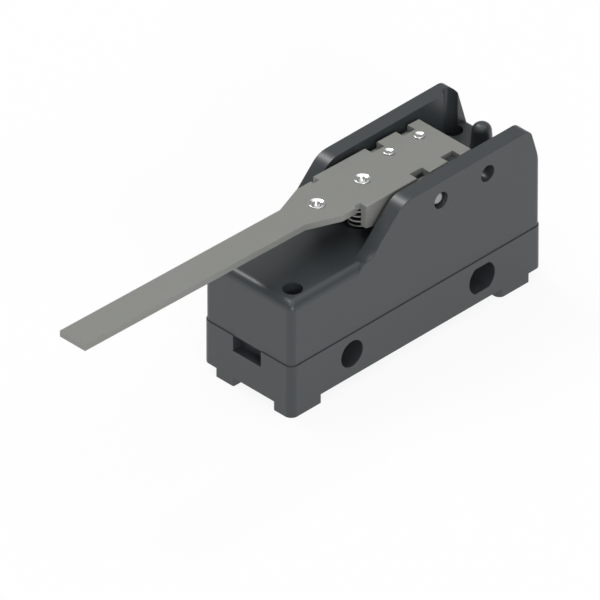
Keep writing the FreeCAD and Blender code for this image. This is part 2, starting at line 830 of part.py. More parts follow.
def make_blade():
    """Build the snap blade: a flat middle leg between two legs that bow down, and a wide tail."""
    blade = Piece("snap_blade")
    bows = blade.sketch("XZ_Plane")
    draw_bow(bows)
    blade.pad(bows, "blade_width", symmetric=True)
    gap = blade.sketch("XY_Plane", "blade_height + blade_thick")
    inner = "(middle_leg / 2 + leg_gap)"
    rectangle(gap, "leg_front - overcut", "leg_rear", f"-{inner}", inner)
    blade.pocket(gap, "leg_sag + 2 * blade_thick")
    middle = blade.sketch("XY_Plane", "blade_height")
    tail = "blade_width / 2"
    corners = [("-blade_pivot - blade_end", "-middle_leg / 2"), ("leg_rear", "-middle_leg / 2")]
    corners += [("leg_rear", f"-{tail}"), ("blade_tail", f"-{tail}")]
    corners += [("blade_tail", tail), ("leg_rear", tail)]
    corners += [("leg_rear", "middle_leg / 2"), ("-blade_pivot - blade_end", "middle_leg / 2")]
    polygon(middle, corners)
    blade.pad(middle, "blade_thick")
    hole = blade.sketch("XY_Plane", "blade_height + blade_thick")
    circle(hole, "contact_along", "0", "contact_shank + metal_fit")
    blade.pocket(hole, "blade_thick")
    return blade


def draw_bow(profile):
    """Draw the side view of the bowed legs, two equal arcs one blade thickness apart."""
    bend = "(((leg_rear - leg_front + leg_overlap) ^ 2) / 4 + leg_sag ^ 2) / (2 * leg_sag)"
    ends = ("leg_front", "leg_rear + leg_overlap")
    levels = ("blade_height + blade_thick", "blade_height")
    for level in levels:
        spots = [FreeCAD.Vector(value(along), value(level), 0) for along in ends]
        low = FreeCAD.Vector((spots[0].x + spots[1].x) / 2, spots[0].y - value("leg_sag"), 0)
        profile.addGeometry(Part.Arc(spots[0], low, spots[1]), False)
    top = [FreeCAD.Vector(value(along), value(levels[0]), 0) for along in ends]
    bottom = [FreeCAD.Vector(value(along), value(levels[1]), 0) for along in ends]
    for upper, lower in zip(top, bottom):
        profile.addGeometry(Part.LineSegment(upper, lower), False)
    for arc, level in enumerate(levels):
        for point, along in enumerate(ends, 1):
            tie(profile, "DistanceX", arc, point, along)
            tie(profile, "DistanceY", arc, point, level)
            profile.addConstraint(Sketcher.Constraint("Coincident", arc, point, 1 + point, arc + 1))
        bond = profile.addConstraint(Sketcher.Constraint("Radius", arc, value(bend)))
        profile.setExpression(f"Constraints[{bond}]", bound(bend))


def make_contact(node, corners):
    """Turn one contact from its half section, on the contacts' shared axis."""
    contact = Piece(node)
    section = contact.sketch("XZ_Plane", along="contact_along")
    polygon(section, corners)
    contact.revolve(section)
    return contact


def make_contacts():
    """Build the moving contact and the two fixed ones above and below it."""
    under = "blade_height"
    over = "(blade_height + blade_thick)"
    low = f"({under} - contact_head)"
    high = f"({over} + contact_head)"
    moving = [("0", low), ("contact_radius", low), ("contact_radius", under), ("contact_shank", under)]
    moving += [("contact_shank", over), ("contact_radius", over), ("contact_radius", high), ("0", high)]
    upper = [("0", f"{high} + contact_touch"), ("contact_radius", f"{high} + contact_touch")]
    upper += [("contact_radius", closed_arm()), ("contact_shank", closed_arm())]
    top = f"{closed_arm()} + terminal_thick"
    upper += [("contact_shank", top), ("0", top)]
    lower = [("0", f"{low} - contact_gap"), ("contact_radius", f"{low} - contact_gap")]
    lower += [("contact_radius", open_shelf()), ("contact_shank", open_shelf())]
    bottom = f"{open_shelf()} - terminal_thick"
    lower += [("contact_shank", bottom), ("0", bottom)]
    pieces = [make_contact("moving_contact", moving), make_contact("closed_contact", upper)]
    pieces.append(make_contact("open_contact", lower))
    return pieces


def closed_arm():
    """Give the height of the underside of the arm that holds the closed contact."""
    return "(blade_height + blade_thick + 2 * contact_head + contact_touch)"


def open_shelf():
    """Give the height of the top of the shelf that holds the open contact."""
    return "(blade_height - 2 * contact_head - contact_gap)"


def make_terminal(name):
    """Bend one terminal: a plate in its recess and a leg up through the floor, with any arm."""
    terminal = Piece(f"{name}_terminal")
    under = "-base_drop + recess_depth - terminal_thick"
    middle = terminal_spots()[name]
    leg = leg_spots()[name]
    plate = terminal.sketch("XY_Plane", under)
    low = f"{middle} - terminal_length / 2" if name != "closed" else leg
    high = f"{middle} + terminal_length / 2" if name == "closed" else f"{leg} + terminal_thick"
    side = "(terminal_width / 2)"
    rectangle(plate, low, high, f"-recess_shift - {side}", f"-recess_shift + {side}")
    terminal.pad(plate, "terminal_thick")
    upright = terminal.sketch("XY_Plane", under)
    rectangle(upright, leg, f"{leg} + terminal_thick", "-leg_width / 2", "leg_width / 2")
    tops = {"common": anchor_top(), "open": open_shelf(), "closed": f"{closed_arm()} + terminal_thick"}
    terminal.pad(upright, f"{tops[name]} - ({under})")
    if name != "common":
        add_arm(terminal, name, leg)
    hole = terminal.sketch("XY_Plane", under)
    circle(hole, middle, "-recess_shift", "terminal_screw_radius + metal_fit")
    terminal.pocket(hole, "terminal_thick", upward=True)
    return terminal


def add_arm(terminal, name, leg):
    """Add the level arm that carries a fixed contact, with the contact's hole."""
    levels = {"open": f"{open_shelf()} - terminal_thick", "closed": closed_arm()}
    near_end = {"open": leg, "closed": "contact_along - contact_radius"}
    far_end = {"open": "contact_along + contact_radius", "closed": f"{leg} + terminal_thick"}
    arm = terminal.sketch("XY_Plane", levels[name])
    rectangle(arm, near_end[name], far_end[name], "-leg_width / 2", "leg_width / 2")
    terminal.pad(arm, "terminal_thick")
    hole = terminal.sketch("XY_Plane", levels[name])
    circle(hole, "contact_along", "0", "contact_shank + metal_fit")
    terminal.pocket(hole, "terminal_thick", upward=True)


def anchor_top():
    """Give the height of the top of the bracket that the blade hangs in."""
    return "(blade_height + blade_thick + anchor_gap + anchor_lip)"


def make_anchor():
    """Build the bracket with a notch for the middle leg and a lug before each bowed leg."""
    anchor = Piece("blade_anchor")
    section = anchor.sketch("XZ_Plane")
    back = "-common_leg"
    throat = "-blade_pivot - blade_end - leg_front_gap"
    sill = "(blade_height - anchor_gap)"
    lintel = "(blade_height + blade_thick + anchor_gap)"
    lug_end = "leg_front - leg_front_gap"
    corners = [(back, f"{sill} - anchor_lip"), (lug_end, f"{sill} - anchor_lip"), (lug_end, lintel)]
    corners += [(f"{lug_end} - anchor_lip", lintel), (f"{lug_end} - anchor_lip", sill), (throat, sill)]
    corners += [(throat, lintel), ("-blade_pivot + anchor_jaw", lintel)]
    corners += [("-blade_pivot + anchor_jaw", anchor_top()), (back, anchor_top())]
    polygon(section, corners)
    anchor.pad(section, "2 * anchor_half", symmetric=True)
    gap = anchor.sketch("XY_Plane", lintel)
    inner = "(middle_leg / 2 + leg_gap)"
    rectangle(gap, "-blade_pivot + anchor_jaw", "leg_front", f"-{inner}", inner)
    anchor.pocket(gap, "blade_thick + 2 * anchor_gap + anchor_dip")
    return anchor


def make_terminal_screw(name):
    """Turn one terminal screw, with a slotted head below and its shank up in the base."""
    screw = Piece(f"{name}_terminal_screw")
    section = screw.sketch("XZ_Plane")
    height = "terminal_screw_head_height"
    tip = f"{height} + clamp_thick + terminal_thick + terminal_screw_length"
    corners = [("0", "0"), ("terminal_screw_head", "0"), ("terminal_screw_head", height)]
    corners += [("terminal_screw_radius", height), ("terminal_screw_radius", tip), ("0", tip)]
    polygon(section, corners)
    screw.revolve(section)
    slot = screw.sketch("XY_Plane")
    half = "terminal_drive_width / 2"
    reach = "(terminal_screw_head + overcut)"
    rectangle(slot, f"-{reach}", reach, f"-{half}", half)
    screw.pocket(slot, "terminal_drive_depth", upward=True)
    under = "-base_drop + recess_depth - terminal_thick - clamp_thick"
    screw.place(along=terminal_spots()[name], across="-recess_shift", height=f"{under} - {height}")
    return screw


def make_clamp(name):
    """Build the square plate that a terminal screw presses on the wire."""
    clamp = Piece(f"{name}_clamp_plate")
    plan = clamp.sketch("XY_Plane")
    half = "clamp_side / 2"
    rectangle(plan, f"-{half}", half, f"-{half}", half)
    clamp.pad(plan, "clamp_thick")
    clamp.fillet("clamp_corner", is_upright)
    hole = clamp.sketch("XY_Plane")
    circle(hole, "0", "0", "terminal_screw_radius + metal_fit")
    clamp.pocket(hole, "clamp_thick", upward=True)
    under = "-base_drop + recess_depth - terminal_thick - clamp_thick"
    clamp.place(along=terminal_spots()[name], across="-recess_shift", height=under)
    return clamp


def make_cover_screw(name):
    """Turn one cover screw with a hexagon socket, down in its hole."""
    screw = Piece(f"cover_screw_{name}")
    section = screw.sketch("XZ_Plane")
    reach = "screw_seat + screw_bite"
    corners = [("0", f"-({reach})"), ("screw_shank", f"-({reach}) + screw_shank"), ("screw_shank", "0")]
    corners += [("screw_head_radius", "0"), ("screw_head_radius", "screw_head_height")]
    corners.append(("0", "screw_head_height"))
    polygon(section, corners)
    screw.revolve(section)
    socket = screw.sketch("XY_Plane", "screw_head_height")
    angles = [f"{360 * step / SOCKET_SIDES}deg" for step in range(SOCKET_SIDES)]
    polygon(socket, [(f"screw_drive * cos({angle})", f"screw_drive * sin({angle})") for angle in angles])
    screw.pocket(socket, "screw_drive_depth")
    along, across = screw_spots()[name]
    screw.place(along=along, across=across, height="parting_height + screw_seat")
    return screw


def make_all():
    """Build every piece of the switch."""
    make_base()
    make_cover()
    make_lever()
    make_strip()
    make_rivet("lever_rivet_front", "-rivet_front")
    make_rivet("lever_rivet_rear", "-rivet_rear")
    make_stud("lever_stud_front", "stud_front")
    make_stud("lever_stud_rear", "stud_front + stud_pitch")
    make_pin()
    make_plunger()
    make_cap()
    make_spring()
    make_blade()
    make_contacts()
    make_anchor()
    for name in terminal_spots():
        make_terminal(name)
        make_terminal_screw(name)
        make_clamp(name)
    for name in screw_spots():
        make_cover_screw(name)


def check_model():
    """Stop if any object failed or any piece is not one valid solid."""
    document.recompute()
    for item in document.Objects:
        if "Invalid" in item.State or "Error" in item.State:
            raise ValueError(f"{item.Label} failed: {item.State}")
    for body in NODES:
        shape = body.Shape
        if shape.isNull() or not shape.isValid() or len(shape.Solids) != 1:
            raise ValueError(f"{body.Label} is not one valid solid")


def write_parts():
    """Write each piece to a file of its own name."""
    os.makedirs("parts", exist_ok=True)
    for body in NODES:
        body.Shape.exportStep(f"parts/{body.Label}.step")


make_all()
check_model()
write_parts()
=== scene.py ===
"""Dresses a lever micro switch: moulded housing, folded steel lever, rivets, pin, plunger and spring.

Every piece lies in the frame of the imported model, in metres: the origin is on the axis of the round
mounting hole at the middle of the width, +X runs away from the lever's tip and +Z is up.
"""
import enum
import json
import logging
import math
from dataclasses import dataclass, field

import bmesh
import bpy
from mathutils import Matrix, Vector


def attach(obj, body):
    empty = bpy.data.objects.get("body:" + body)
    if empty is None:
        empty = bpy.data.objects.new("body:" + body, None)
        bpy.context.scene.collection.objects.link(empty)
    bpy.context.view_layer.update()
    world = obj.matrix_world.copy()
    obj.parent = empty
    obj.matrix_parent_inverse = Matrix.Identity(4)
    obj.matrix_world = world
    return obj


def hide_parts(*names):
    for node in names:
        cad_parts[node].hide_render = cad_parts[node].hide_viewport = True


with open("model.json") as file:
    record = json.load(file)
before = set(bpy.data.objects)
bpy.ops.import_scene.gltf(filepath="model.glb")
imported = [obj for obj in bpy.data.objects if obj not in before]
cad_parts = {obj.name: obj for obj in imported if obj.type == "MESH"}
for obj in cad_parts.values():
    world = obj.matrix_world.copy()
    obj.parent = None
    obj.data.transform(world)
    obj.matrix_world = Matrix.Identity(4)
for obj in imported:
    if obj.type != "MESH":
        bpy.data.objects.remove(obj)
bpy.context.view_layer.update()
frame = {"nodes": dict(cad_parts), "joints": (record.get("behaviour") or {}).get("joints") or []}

MM = 0.001
LOG = logging.getLogger("micro_switch")

# Corners nearer than this, in metres, are one corner
WELD = 0.000002
# Faces that meet at less than this lie in one plane
FLAT = math.radians(1.0)
# Edges that turn by more than the first are shaded sharp, by more than the second are broken
CREASE = math.radians(30.0)
SHARP = math.radians(35.0)
# Faces across a broken edge, across a turned corner, and round a turned piece
EASED_FACES = 2
CORNER_FACES = 4
TURNED_SIDES = 72
# Layers of a fine pattern, and how much each finer layer counts in any pattern
FINE_LAYERS = 3.0
LAYER_WEIGHT = 0.55

Colour = tuple[float, float, float]
Direction = tuple[float, float, float]
Point = tuple[float, float]


class Body(enum.Enum):
    """The rigid bodies that new pieces ride on."""

    HOUSING = "housing"
    LEVER = "lever_body"


class Grain(enum.Enum):
    """How the surface of a sheet or a turned piece is worked."""

    ROLLED = "rolled"
    TURNED = "turned"
    PLATED = "plated"


# What each axis is multiplied by before the marks are laid, so that they are long where it is small
STRETCH: dict[Grain, Direction] = {
    Grain.ROLLED: (0.05, 1.0, 1.0),
    Grain.TURNED: (1.0, 1.0, 0.2),
    Grain.PLATED: (1.0, 1.0, 1.0),
}


# Shader maths


class Value:
    """A shader socket that carries a number and takes part in sums."""

    def __init__(self, shader: "Shader", socket: bpy.types.NodeSocket) -> None:
        """Keep the socket and the shader it belongs to."""
        self.shader = shader
        self.socket = socket

    def _math(self, operation: str, *parts: "Value | float") -> "Value":
        """Add one Math node.

        Args:
            operation: the node's operation.
            parts: its inputs, in order.

        Returns:
            The node's result.
        """
        inputs = dict(enumerate(parts))
        return self.shader.node("ShaderNodeMath", {"operation": operation}, inputs)

    def __add__(self, other: "Value | float") -> "Value":
        """Add."""
        return self._math("ADD", self, other)

    __radd__ = __add__

    def __mul__(self, other: "Value | float") -> "Value":
        """Multiply."""
        return self._math("MULTIPLY", self, other)

    __rmul__ = __mul__

    def __sub__(self, other: "Value | float") -> "Value":
        """Take away."""
        return self._math("SUBTRACT", self, other)

    def __rsub__(self, other: "Value | float") -> "Value":
        """Take this away from the other."""
        return self._math("SUBTRACT", other, self)

    def __gt__(self, other: "Value | float") -> "Value":
        """Give 1 where this is greater, else 0."""
        return self._math("GREATER_THAN", self, other)

    def __lt__(self, other: "Value | float") -> "Value":
        """Give 1 where this is less, else 0."""
        return self._math("LESS_THAN", self, other)


class Shader:
    """One procedural material, built node by node."""

    def __init__(self, name: str) -> None:
        """Start a material with a Principled shader alone.

        Args:
            name: the material's name.
        """
        self.material = bpy.data.materials.new(name)
        self.material.use_nodes = True
        self.tree = self.material.node_tree
        self.tree.nodes.clear()
        self.output = self.tree.nodes.new("ShaderNodeOutputMaterial")
        self.surface = self.tree.nodes.new("ShaderNodeBsdfPrincipled")
        self.tree.links.new(self.surface.outputs["BSDF"], self.output.inputs["Surface"])

    def node(self, kind: str, settings: dict | None = None, inputs: dict | None = None,
             out: str | int = 0) -> Value:
        """Add any node.

        Args:
            kind: the node's type.
            settings: its own settings, set first.
            inputs: values or links for its sockets, by name or number.
            out: the output that is wanted.

        Returns:
            The wanted output.
        """
        made = self.tree.nodes.new(kind)
        for name, setting in (settings or {}).items():
            setattr(made, name, setting)
        for socket, given in (inputs or {}).items():
            self.feed(made.inputs[socket], given)
        return Value(self, made.outputs[out])

    @staticmethod
    def fill_ramp(made: bpy.types.Node, stops: list[tuple[float, float]]) -> None:
        """Give a colour ramp its stops.

        Args:
            made: the ramp node.
            stops: places and grey levels, lowest place first.
        """
        ramp = made.color_ramp
        while len(ramp.elements) < len(stops):
            ramp.elements.new(0.5)
        for element, (place, level) in zip(ramp.elements, stops):
            element.position = place
            element.color = (level, level, level, 1.0)

    def feed(self, socket: bpy.types.NodeSocket, given: "Value | float | tuple") -> None:
        """Link or set one input socket.

        Args:
            socket: the socket.
            given: what it gets, linked if it comes from another node.
        """
        if isinstance(given, Value):
            self.tree.links.new(given.socket, socket)
        else:
            socket.default_value = given

    def set(self, **inputs: "Value | float | tuple") -> None:
        """Set sockets of the Principled shader, with underscores for spaces."""
        for name, given in inputs.items():
            self.feed(self.surface.inputs[name.replace("_", " ")], given)

    def place(self, stretch: Direction = (1.0, 1.0, 1.0)) -> Value:
        """Give the piece's own coordinates in millimetres.

        Args:
            stretch: what each axis is multiplied by.

        Returns:
            The coordinates.
        """
        where = self.node("ShaderNodeTexCoord", out="Object")
        scale = tuple(part / MM for part in stretch)
        return self.node("ShaderNodeMapping", inputs={"Vector": where, "Scale": scale})

    def noise(self, where: Value, scale: float, detail: float = 2.0) -> Value:
        """Give a cloudy pattern between 0 and 1.

        Args:
            where: coordinates in millimetres.
            scale: repeats per millimetre.
            detail: how many finer layers are added.

        Returns:
            The pattern.
        """
        inputs = {"Vector": where, "Scale": scale, "Detail": detail, "Roughness": LAYER_WEIGHT}
        return self.node("ShaderNodeTexNoise", inputs=inputs)

    def between(self, factor: Value, low: Colour, high: Colour) -> Value:
        """Blend two colours by a number."""
        inputs = {"Factor": factor, 6: (*low, 1.0), 7: (*high, 1.0)}
        return self.node("ShaderNodeMix", {"data_type": "RGBA"}, inputs, out=2)

    def bump(self, height: Value, depth: float, strength: float) -> Value:
        """Turn a height pattern into a normal.

        Args:
            height: the pattern, from 0 to 1.
            depth: the height of 1, in metres.
            strength: how much of it shows.

        Returns:
            The normal.
        """
        inputs = {"Height": height, "Distance": depth, "Strength": strength}
        return self.node("ShaderNodeBump", inputs=inputs)


# Finishes


@dataclass(frozen=True)
class MouldedFinish:
    """A moulded plastic with a fine eroded texture.

    Attributes:
        name: the material's name.
        colour: its colour.
        roughness: its gloss, from 0 for a mirror to 1.
        grain: repeats of the texture per millimetre.
        relief: the depth of the texture in metres.
        mottle: how much lighter and darker the colour gets.
        cloud: repeats of the wide mottling per millimetre.
        cloud_share: the wide mottling's share of the colour's change; the texture has the rest.
        spread: how much the texture changes the roughness.
        strength: how much of the relief shows.
    """

    name: str
    colour: Colour
    roughness: float = 0.5
    grain: float = 9.0
    relief: float = 0.000006
    mottle: float = 0.06
    cloud: float = 0.12
    cloud_share: float = 0.7
    spread: float = 0.1
    strength: float = 0.4

    def make(self) -> bpy.types.Material:
        """Build the material.

        Returns:
            The new material.
        """
        shader = Shader(self.name)
        where = shader.place()
        cloud = shader.noise(where, self.cloud)
        fine = shader.noise(where, self.grain, FINE_LAYERS)
        low = tuple(part * (1.0 - self.mottle) for part in self.colour)
        high = tuple(part * (1.0 + self.mottle) for part in self.colour)
        blend = cloud * self.cloud_share + fine * (1.0 - self.cloud_share)
        shader.set(Base_Color=shader.between(blend, low, high))
        shader.set(Roughness=fine * self.spread + (self.roughness - self.spread / 2.0))
        shader.set(Normal=shader.bump(fine, self.relief, self.strength))
        return shader.material


@dataclass(frozen=True)
class MetalFinish:
    """A worked metal surface.

    Attributes:
        name: the material's name.
        colour: its colour at normal incidence.
        roughness: its gloss, from 0 for a mirror to 1.
        grain: how it is worked.
        relief: the depth of the marks in metres.
        satin: how much metal look is taken off the bent flanks so that they catch lamp light and read
            bright, a painted reflection.
        painted_reflection_from: where along the part the flanks with the painted reflection start, in
            millimetres.
        painted_reflection_rough: how much rougher those flanks are made for the painted reflection.
        upright: the most that a flank's normal may point up or down.
        marks: repeats of the marks per millimetre.
        cloud: repeats of the wide mottling per millimetre.
        mottle: how much lighter and darker the colour gets.
        mark_spread: how much the marks change the roughness.
        cloud_spread: how much the mottling changes it.
        strength: how much of the relief shows.
    """

    name: str
    colour: Colour
    roughness: float
    grain: Grain
    relief: float = 0.000002
    satin: float = 0.0
    painted_reflection_from: float = 5.0
    painted_reflection_rough: float = 0.15
    upright: float = 0.4
    marks: float = 14.0
    cloud: float = 0.25
    mottle: float = 0.02
    mark_spread: float = 0.03
    cloud_spread: float = 0.02
    strength: float = 0.3

    def make(self) -> bpy.types.Material:
        """Build the material.

        Returns:
            The new material.
        """
        shader = Shader(self.name)
        marks = shader.noise(shader.place(STRETCH[self.grain]), self.marks, FINE_LAYERS)
        cloud = shader.noise(shader.place(), self.cloud)
        low = tuple(part * (1.0 - self.mottle) for part in self.colour)
        high = tuple(part * (1.0 + self.mottle) for part in self.colour)
        shader.set(Base_Color=shader.between(cloud, low, high), Metallic=1.0)
        middle = (self.mark_spread + self.cloud_spread) / 2.0
        rough = marks * self.mark_spread + cloud * self.cloud_spread + (self.roughness - middle)
        # Painted reflection: upright flank faces are made less metallic and rougher, so that they catch
        # lamp light and read brighter, standing in for the bright reflection that the near wall blocks.
        if self.satin:
            flank = self.flanks(shader)
            rough = rough + flank * self.painted_reflection_rough
            shader.set(Metallic=1.0 - flank * self.satin)
        shader.set(Roughness=rough)
        shader.set(Normal=shader.bump(marks, self.relief, self.strength))
        return shader.material

    def flanks(self, shader: Shader) -> Value:
        """Tell the bent flanks, which get the painted reflection, from the flat sheet.

        Args:
            shader: the material that is being built.

        Returns:
            1 on upright faces past the place where the flanks start, else 0.
        """
        facing = shader.node("ShaderNodeTexCoord", out="Normal")
        upwards = shader.node("ShaderNodeSeparateXYZ", inputs={0: facing}, out="Z")
        along = shader.node("ShaderNodeSeparateXYZ", inputs={0: shader.place()}, out="X")
        level = shader.node("ShaderNodeMath", {"operation": "ABSOLUTE"}, {0: upwards})
        return (self.upright > level) * (along > self.painted_reflection_from)


Finish = MouldedFinish | MetalFinish

HOUSING_PLASTIC = MouldedFinish("dark_grey_moulding", (0.038, 0.0445, 0.0475), roughness=0.35)
# Painted shade: the plunger is made near black so that the hollow under the lever, where it stands, reads
# as deep shade.
PLUNGER_PAINTED_SHADE = MouldedFinish("plunger_painted_shade", (0.02, 0.021, 0.022), roughness=0.4, grain=5.0,
                                relief=0.000002, mottle=0.03)
# The lever's bent flanks carry a painted reflection: they are made less metallic so that they read bright.
LEVER_STEEL = MetalFinish("lever_steel", (0.305, 0.31, 0.292), 0.56, Grain.ROLLED,
                          relief=0.0000002, satin=0.45)
STRIP_STEEL = MetalFinish("strip_steel", (0.62, 0.62, 0.59), 0.3, Grain.ROLLED)
RIVET_STEEL = MetalFinish("rivet_steel", (0.7, 0.71, 0.7), 0.2, Grain.PLATED, relief=0.0000002)
PIN_STEEL = MetalFinish("pin_steel", (0.32, 0.33, 0.33), 0.26, Grain.TURNED)
SPRING_STEEL = MetalFinish("spring_steel", (0.75, 0.75, 0.74), 0.3, Grain.PLATED, relief=0.0000005)
BLADE_METAL = MetalFinish("blade_bronze", (0.83, 0.55, 0.34), 0.28, Grain.ROLLED)
CONTACT_METAL = MetalFinish("contact_silver", (0.88, 0.87, 0.84), 0.22, Grain.TURNED)
TERMINAL_BRASS = MetalFinish("terminal_brass", (0.84, 0.66, 0.34), 0.3, Grain.ROLLED)
SCREW_STEEL = MetalFinish("screw_steel", (0.72, 0.72, 0.69), 0.25, Grain.TURNED)


# Mesh work


@dataclass
class Workshop:
    """Makes pieces from bmeshes and keeps the materials that they share.

    Attributes:
        made: the materials already built, by name.
    """

    made: dict[str, bpy.types.Material] = field(default_factory=dict)

    def material(self, finish: Finish) -> bpy.types.Material:
        """Give a finish's material, building it the first time.

        Args:
            finish: the finish.

        Returns:
            Its material.
        """
        if finish.name not in self.made:
            self.made[finish.name] = finish.make()
        return self.made[finish.name]

    def dress(self, node: str, finish: Finish) -> None:
        """Give a CAD node its finish.

        Args:
            node: the node's name.
            finish: what it is made of.
        """
        thing = frame["nodes"][node]
        thing.data.materials.clear()
        thing.data.materials.append(self.material(finish))
        LOG.info("%s keeps its shape, finish %s", node, finish.name)

    def piece(self, name: str, shape: bmesh.types.BMesh, finish: Finish, body: Body,
              replaced: str) -> bpy.types.Object:
        """Turn a finished bmesh into a piece of the object.

        Args:
            name: the piece's name.
            shape: its mesh, in place, which is freed here.
            finish: what it is made of.
            body: the body it rides on.
            replaced: the CAD node that it stands for.

        Returns:
            The new object.
        """
        data = bpy.data.meshes.new(name)
        shape.to_mesh(data)
        shape.free()
        data.shade_smooth()
        data.set_sharp_from_angle(angle=CREASE)
        data.materials.append(self.material(finish))
        thing = bpy.data.objects.new(name, data)
        bpy.context.scene.collection.objects.link(thing)
        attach(thing, body.value)
        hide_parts(replaced)
        LOG.info("%s: %d faces, finish %s", name, len(data.polygons), finish.name)
        return thing

    def eased(self, node: str, finish: Finish, body: Body, width: float) -> bpy.types.Object:
        """Copy a CAD node and break its sharp edges, as a moulded or stamped piece has them.

        Args:
            node: the node to stand for.
            finish: what it is made of.
            body: the body it rides on.
            width: the width of a broken edge in metres.

        Returns:
            The new object.
        """
        shape = bmesh.new()
        shape.from_mesh(frame["nodes"][node].data)
        bmesh.ops.remove_doubles(shape, verts=shape.verts, dist=WELD)
        bmesh.ops.dissolve_limit(shape, angle_limit=FLAT, verts=shape.verts, edges=shape.edges,
                                 use_dissolve_boundaries=False, delimit=set())
        edges = [edge for edge in shape.edges
                 if len(edge.link_faces) == 2 and edge.calc_face_angle(0.0) > SHARP]
        bmesh.ops.bevel(shape, geom=edges, offset=width, offset_type="OFFSET", affect="EDGES",
                        segments=EASED_FACES, profile=0.5, material=-1, clamp_overlap=True)
        thing = self.piece(f"{node}_eased", shape, finish, body, node)
        flat = thing.modifiers.new("flat_faces", "WEIGHTED_NORMAL")
        flat.keep_sharp = True
        return thing

    @staticmethod
    def turned(outline: list[Point], rounding: float, place: Matrix) -> bmesh.types.BMesh:
        """Turn an outline round the Z axis and put it in place.

        Args:
            outline: radius and height of each corner in millimetres, from the axis out and back to it.
            rounding: how far from each corner it starts to turn, in millimetres.
            place: leads from the piece's own millimetres to its place in metres.

        Returns:
            The turned mesh.
        """
        shape = bmesh.new()
        corners = [shape.verts.new((radius, 0.0, height)) for radius, height in outline]
        for pair in zip(corners, corners[1:]):
            shape.edges.new(pair)
        bmesh.ops.bevel(shape, geom=corners[1:-1], offset=rounding, offset_type="OFFSET",
                        affect="VERTICES", segments=CORNER_FACES, profile=0.5, material=-1,
                        clamp_overlap=True)
        bmesh.ops.spin(shape, geom=shape.verts[:] + shape.edges[:], axis=(0.0, 0.0, 1.0),
                       cent=(0.0, 0.0, 0.0), angle=math.tau, steps=TURNED_SIDES, use_merge=True)
        bmesh.ops.remove_doubles(shape, verts=shape.verts, dist=WELD / MM)
        bmesh.ops.recalc_face_normals(shape, faces=shape.faces)
        bmesh.ops.transform(shape, matrix=place, verts=shape.verts)
        return shape


# Sub-assemblies


@dataclass
class Housing:
    """The two mouldings and the screws between them.

    Attributes:
        edge: the width of the mouldings' broken edges, in metres.
        corners: where the cover's screws stand.
    """

    edge: float = 0.1 * MM
    corners: tuple[str, ...] = ("front_near", "front_far", "rear_near", "rear_far")

    def build(self, shop: Workshop) -> None:
        """Ease both mouldings' edges and dress their screws.

        Args:
            shop: the workshop.
        """
        shop.eased("base_housing", HOUSING_PLASTIC, Body.HOUSING, self.edge)
        shop.eased("cover_housing", HOUSING_PLASTIC, Body.HOUSING, self.edge)
        for corner in self.corners:
            shop.dress(f"cover_screw_{corner}", SCREW_STEEL)


@dataclass(frozen=True)
class HollowRivet:
    """A hollow rivet with a rolled lip; millimetres, heights from the plate's upper face.

    Attributes:
        shank: the radius of its shank.
        tail: the radius of the closed tail where it meets the strip.
        tail_end: its radius at its lower end.
        tail_depth: how far the tail stands below the strip.
        head: the radius of the lip on the plate.
        shoulder: radius and height of the lip's outer side.
        lip: radius and height of the lip's top.
        dish: radius and height where the dish turns into the funnel.
        funnel: radius and height of the funnel's flat bottom.
        rounding: how far from each corner it starts to turn.
    """

    shank: float = 0.8
    tail: float = 1.5
    tail_end: float = 1.25
    tail_depth: float = 0.4
    head: float = 1.27
    shoulder: Point = (1.25, 0.12)
    lip: Point = (1.16, 0.18)
    dish: Point = (0.68, -0.02)
    funnel: Point = (0.33, -0.75)
    rounding: float = 0.04

    def outline(self, under: float) -> list[Point]:
        """Draw half the rivet's section, from the tail up to the funnel.

        Args:
            under: the depth of the strip's lower face.

        Returns:
            Radius and height of each corner.
        """
        end = -under - self.tail_depth
        tail = [(0.0, end), (self.tail_end, end), (self.tail, -under), (self.shank, -under)]
        head = [(self.shank, 0.0), (self.head, 0.0), self.shoulder, self.lip]
        hollow = [self.dish, self.funnel, (0.0, self.funnel[1])]
        return tail + head + hollow


@dataclass(frozen=True)
class DishedStud:
    """A small rivet with a dished head; millimetres, heights from the plate's upper face.

    Attributes:
        shank: the radius of its shank.
        depth: how far the shank reaches down.
        head: the radius of the head on the plate.
        shoulder: radius and height of the head's outer side.
        rim: radius and height of the rim's top.
        dish: radius and height of the dish's edge.
        bottom: the height of the dish's middle.
        rounding: how far from each corner it starts to turn.
    """

    shank: float = 0.5
    depth: float = 1.0
    head: float = 0.85
    shoulder: Point = (0.83, 0.2)
    rim: Point = (0.72, 0.25)
    dish: Point = (0.34, 0.06)
    bottom: float = 0.04
    rounding: float = 0.035

    def outline(self) -> list[Point]:
        """Draw half the stud's section, from the shank's end up to the dish.

        Returns:
            Radius and height of each corner.
        """
        shank = [(0.0, -self.depth), (self.shank, -self.depth), (self.shank, 0.0)]
        head = [(self.head, 0.0), self.shoulder, self.rim, self.dish, (0.0, self.bottom)]
        return shank + head


